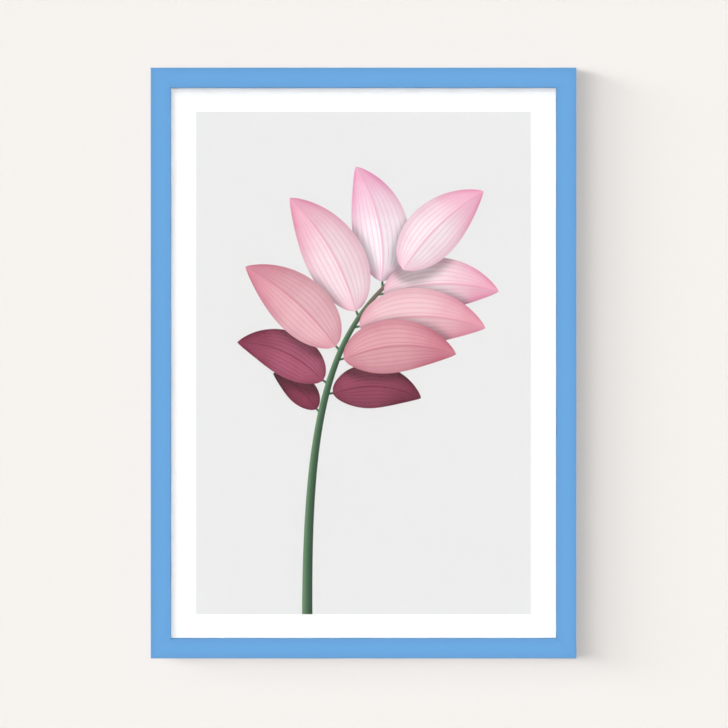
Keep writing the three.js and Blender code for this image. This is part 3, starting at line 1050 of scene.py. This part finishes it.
# %% [markdown]
# ## Hanger and corner fasteners
#
# The sawtooth hanger already has its bends, notches and nail holes as a solid part, so it stays
# and is only eased and plated. The corner fasteners are thin steel V's, driven across each mitre
# until they are flush. Flush faces flicker in a render, because two surfaces share one plane, so
# each V is made anew, and stands a hair proud of the wood.

# %% Hanger and v-nails
soften("sawtooth_hanger", ZINC, 0.12 * MM)
PROUD = 0.03 * MM
STRIP = 0.5 * MM


def v_nail(name):
    """A strip folded at a right angle: an L-shaped outline, carried straight into the wood."""
    lo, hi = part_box(name)
    into_x = 1 if (lo.x + hi.x) / 2 < 0 else -1
    into_z = 1 if (lo.z + hi.z) / 2 < CENTRE_Z else -1
    apex = np.array([hi.x if into_x > 0 else lo.x, hi.z if into_z > 0 else lo.z])
    end = hi.x - lo.x
    ring = -np.array([[0, 0], [end, 0], [end, STRIP], [STRIP, STRIP], [STRIP, end], [0, end], [0, 0]])
    flat = apex + ring * np.array([into_x, into_z])
    rows = [lo.y, BACK_Y + PROUD]
    points = np.stack([np.stack([flat[:, 0], np.full(len(flat), y), flat[:, 1]], -1) for y in rows])
    piece = build(f"corner_{name}", [patch(points, caps=True)], GREY_STEEL, sharp=30)
    return stands_for(piece, "root", "fastener_steel", name)


v_nails = [v_nail(name) for name in sorted(frame["nodes"]) if name.startswith("v_nail_")]
print(f"{len(v_nails)} v-nails")

# %% [markdown]
# ## The wall and the floor
#
# The frame hangs on a plain warm-white wall, over a plain pale floor. A solid wall would hide and
# shade the back of the frame. So this is a set wall: a shader shows paint on its face and nothing
# on its back, and no lamp is shaded by it. The floor glows a little by itself, because most of the
# light comes from the front.

# %% Wall and floor
WALL_Y, WALL_HALF_WIDTH, WALL_TOP = 0.4 * MM, 2.4, 1.6
FLOOR_Z, FLOOR_HALF = -1.1, 9.0
WALL_WHITE = (0.877, 0.842, 0.812, 1.0)
FLOOR_WHITE = (0.80, 0.78, 0.76, 1.0)
FLOOR_GLOW = 0.74


def stage_mesh(name, corners, faces, material):
    """A piece of the set, which isn't part of the object and shades nothing."""
    mesh = bpy.data.meshes.new(name)
    mesh.from_pydata(corners, [], faces)
    mesh.materials.append(material)
    piece = in_scene(name, mesh)
    piece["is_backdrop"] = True
    piece.visible_shadow = False
    piece.visible_glossy = False
    return piece


def wall_paint():
    f = Finish("warm_white_wall")
    back = f.node("NewGeometry", output="Backfacing")
    paint = f.node("BsdfDiffuse", {}, {"Color": WALL_WHITE})
    clear = f.node("BsdfTransparent", {}, {"Color": WHITE})
    return f.finish(f.node("MixShader", {}, {0: back, 1: paint, 2: clear}))


def floor_paint():
    f = Finish("pale_floor")
    glow = f.node("Emission", {}, {"Color": FLOOR_WHITE, "Strength": FLOOR_GLOW})
    matt = f.node("BsdfDiffuse", {}, {"Color": FLOOR_WHITE})
    return f.finish(f.node("AddShader", {}, {0: glow, 1: matt}))


CORNERS = [(-1, -1), (1, -1), (1, 1), (-1, 1)]
wall = stage_mesh("wall", [(x * WALL_HALF_WIDTH, WALL_Y, WALL_TOP if up > 0 else FLOOR_Z)
                           for x, up in CORNERS], [(0, 1, 2, 3)], wall_paint())
floor = stage_mesh("floor", [(x * FLOOR_HALF, y * FLOOR_HALF, FLOOR_Z) for x, y in CORNERS],
                   [(0, 1, 2, 3)], floor_paint())
for plane in (wall, floor):
    plane.visible_diffuse = False
print(f"wall {2 * WALL_HALF_WIDTH:.1f} x {WALL_TOP - FLOOR_Z:.1f} m")

# %% [markdown]
# ## Light from all round
#
# A pale room sends a little light from every side, which darkens the wall softly where the frame
# stands close to it. The world background could do that, but this world is what the glass and the
# metal mirror, and it can't be both. So a plain glowing dome, a large cube, stands round the set.
# Only light that scatters off matt surfaces finds it, and nothing else sees it.

# %% A glowing dome
LIGHT = 1.06
AMBIENT_SHARE, FRONT_SHARE, HIGH_SHARE = 0.07, 0.45, 0.32
WINDOW_SHARE = 1 - AMBIENT_SHARE - FRONT_SHARE
DOME_HALF = 14.0
DOME_FACES = [(0, 1, 2, 3), (4, 7, 6, 5), (0, 4, 5, 1), (1, 5, 6, 2), (2, 6, 7, 3), (3, 7, 4, 0)]


def dome_glow():
    f = Finish("soft_dome_glow")
    level = AMBIENT_SHARE * LIGHT
    return f.finish(f.node("Emission", {}, {"Color": WHITE, "Strength": level}))


dome_corners = [(x * DOME_HALF, y * DOME_HALF, z * DOME_HALF) for z in (-1, 1) for x, y in CORNERS]
dome = stage_mesh("soft_dome", dome_corners, DOME_FACES, dome_glow())
dome.visible_camera = False
dome.visible_transmission = False
dome.data.materials[0].cycles.emission_sampling = "NONE"
print(f"share of the dome {AMBIENT_SHARE:.0%}, of the windows {WINDOW_SHARE:.0%}")

# %% [markdown]
# ## Daylight from the left
#
# Soft daylight from a long window could be an area lamp, but that lights what is near more than what
# is far. A sun lights all alike, so the window is a row of soft suns. A sun's strength of pi makes a
# white matt surface that faces it exactly white, so each sun gets pi times its share of the light,
# over the cosine of its angle to the wall. The suns are linked to what they light: five bands of
# window, round to a grazing angle, draw the shadow on the wall, a window up at the left draws the
# shadow of the rails on the sheet, and the rails get an even front light. Two suns from behind light
# the outer sides and the back. They have no bounces, or their light would go on from the blue sides
# to the wall and tint it. Linked suns need the plain way of picking lights, without the light tree,
# and must not be looked for by scattered rays, which the dome would stop.

# %% Suns
# Angle from straight ahead in degrees, share of the light, and rise.
WINDOW_BANDS = [(8, 0.050, 0.0), (24, 0.103, 0.02), (40, 0.132, 0.05),
                (56, 0.091, 0.08), (72, 0.104, 0.22)]
BEHIND_SHARE = 0.50
CRISP, NARROW, SOFT, WIDE = 2, 12, 20, 40  # how wide a sun looks, in degrees


def group(name, objects):
    """A collection that a light can be linked to."""
    made = bpy.data.collections.new(name)
    for item in objects:
        made.objects.link(item)
    return made


def sun(name, towards, share, softness, only=None, behind=False):
    """A sun that stands in a direction (x, y, z) and gives a share of the light on a surface
    that faces -Y, or, from behind, on one that faces it."""
    data = bpy.data.lights.new(name, "SUN")
    place = Vector(towards).normalized()
    data.energy = math.pi * LIGHT * share / (-place.y if place.y < 0 else 1.0)
    data.angle = math.radians(softness)
    data.cycles.use_multiple_importance_sampling = False
    lamp = in_scene(name, data)
    lamp.rotation_euler = (-place).to_track_quat("-Z", "Y").to_euler()
    lamp.visible_glossy = behind
    if behind:
        data.cycles.max_bounces = 0
    if only is not None:
        lamp.light_linking.receiver_collection = only


wall_group = group("wall_only", [wall])
rail_group = group("rails_only", mouldings)
inside = [frame["nodes"][n] for n in ("art_print", "filler_board", "back_board")] + [leaves, stem]
inside_group = group("sheet_only", inside)

sun("front", (0, -1, 0), FRONT_SHARE, CRISP)
sun("front_rails", (0, -1, 0), WINDOW_SHARE, CRISP, rail_group)
for i, (angle, share, rise) in enumerate(WINDOW_BANDS):
    sideways, towards = math.sin(math.radians(angle)), math.cos(math.radians(angle))
    sun(f"window_{i}", (-sideways, -towards, rise), share, SOFT, wall_group)
sun("front_sheet", (0, -1, 0), WINDOW_SHARE - HIGH_SHARE, CRISP, inside_group)
sun("high_window", (-0.46, -1, 0.52), HIGH_SHARE, WIDE, inside_group)
sun("behind_high", (1, 0.7, 0.8), BEHIND_SHARE, NARROW, behind=True)
sun("behind_low", (-1, 0.7, -0.8), BEHIND_SHARE, NARROW, behind=True)
print(f"{len(bpy.data.lights)} suns, {sum(share for _, share, _ in WINDOW_BANDS):.2f} in the window")

# %% The room that gloss mirrors
ROOM = (0.922, 0.888, 0.863, 1.0)
world = bpy.data.worlds.new("studio")
bpy.context.scene.world = world
world.use_nodes = True
world.node_tree.nodes["Background"].inputs["Color"].default_value = ROOM
world.cycles_visibility.diffuse = False
bpy.context.scene.cycles.use_light_tree = False
bpy.context.scene.view_settings.view_transform = "Standard"
print("world:", world.name)

# %% [markdown]
# ## The size of the dressed object
#
# The dressed object must stay in the box of the solid parts, or it would no longer fit where they
# fit.
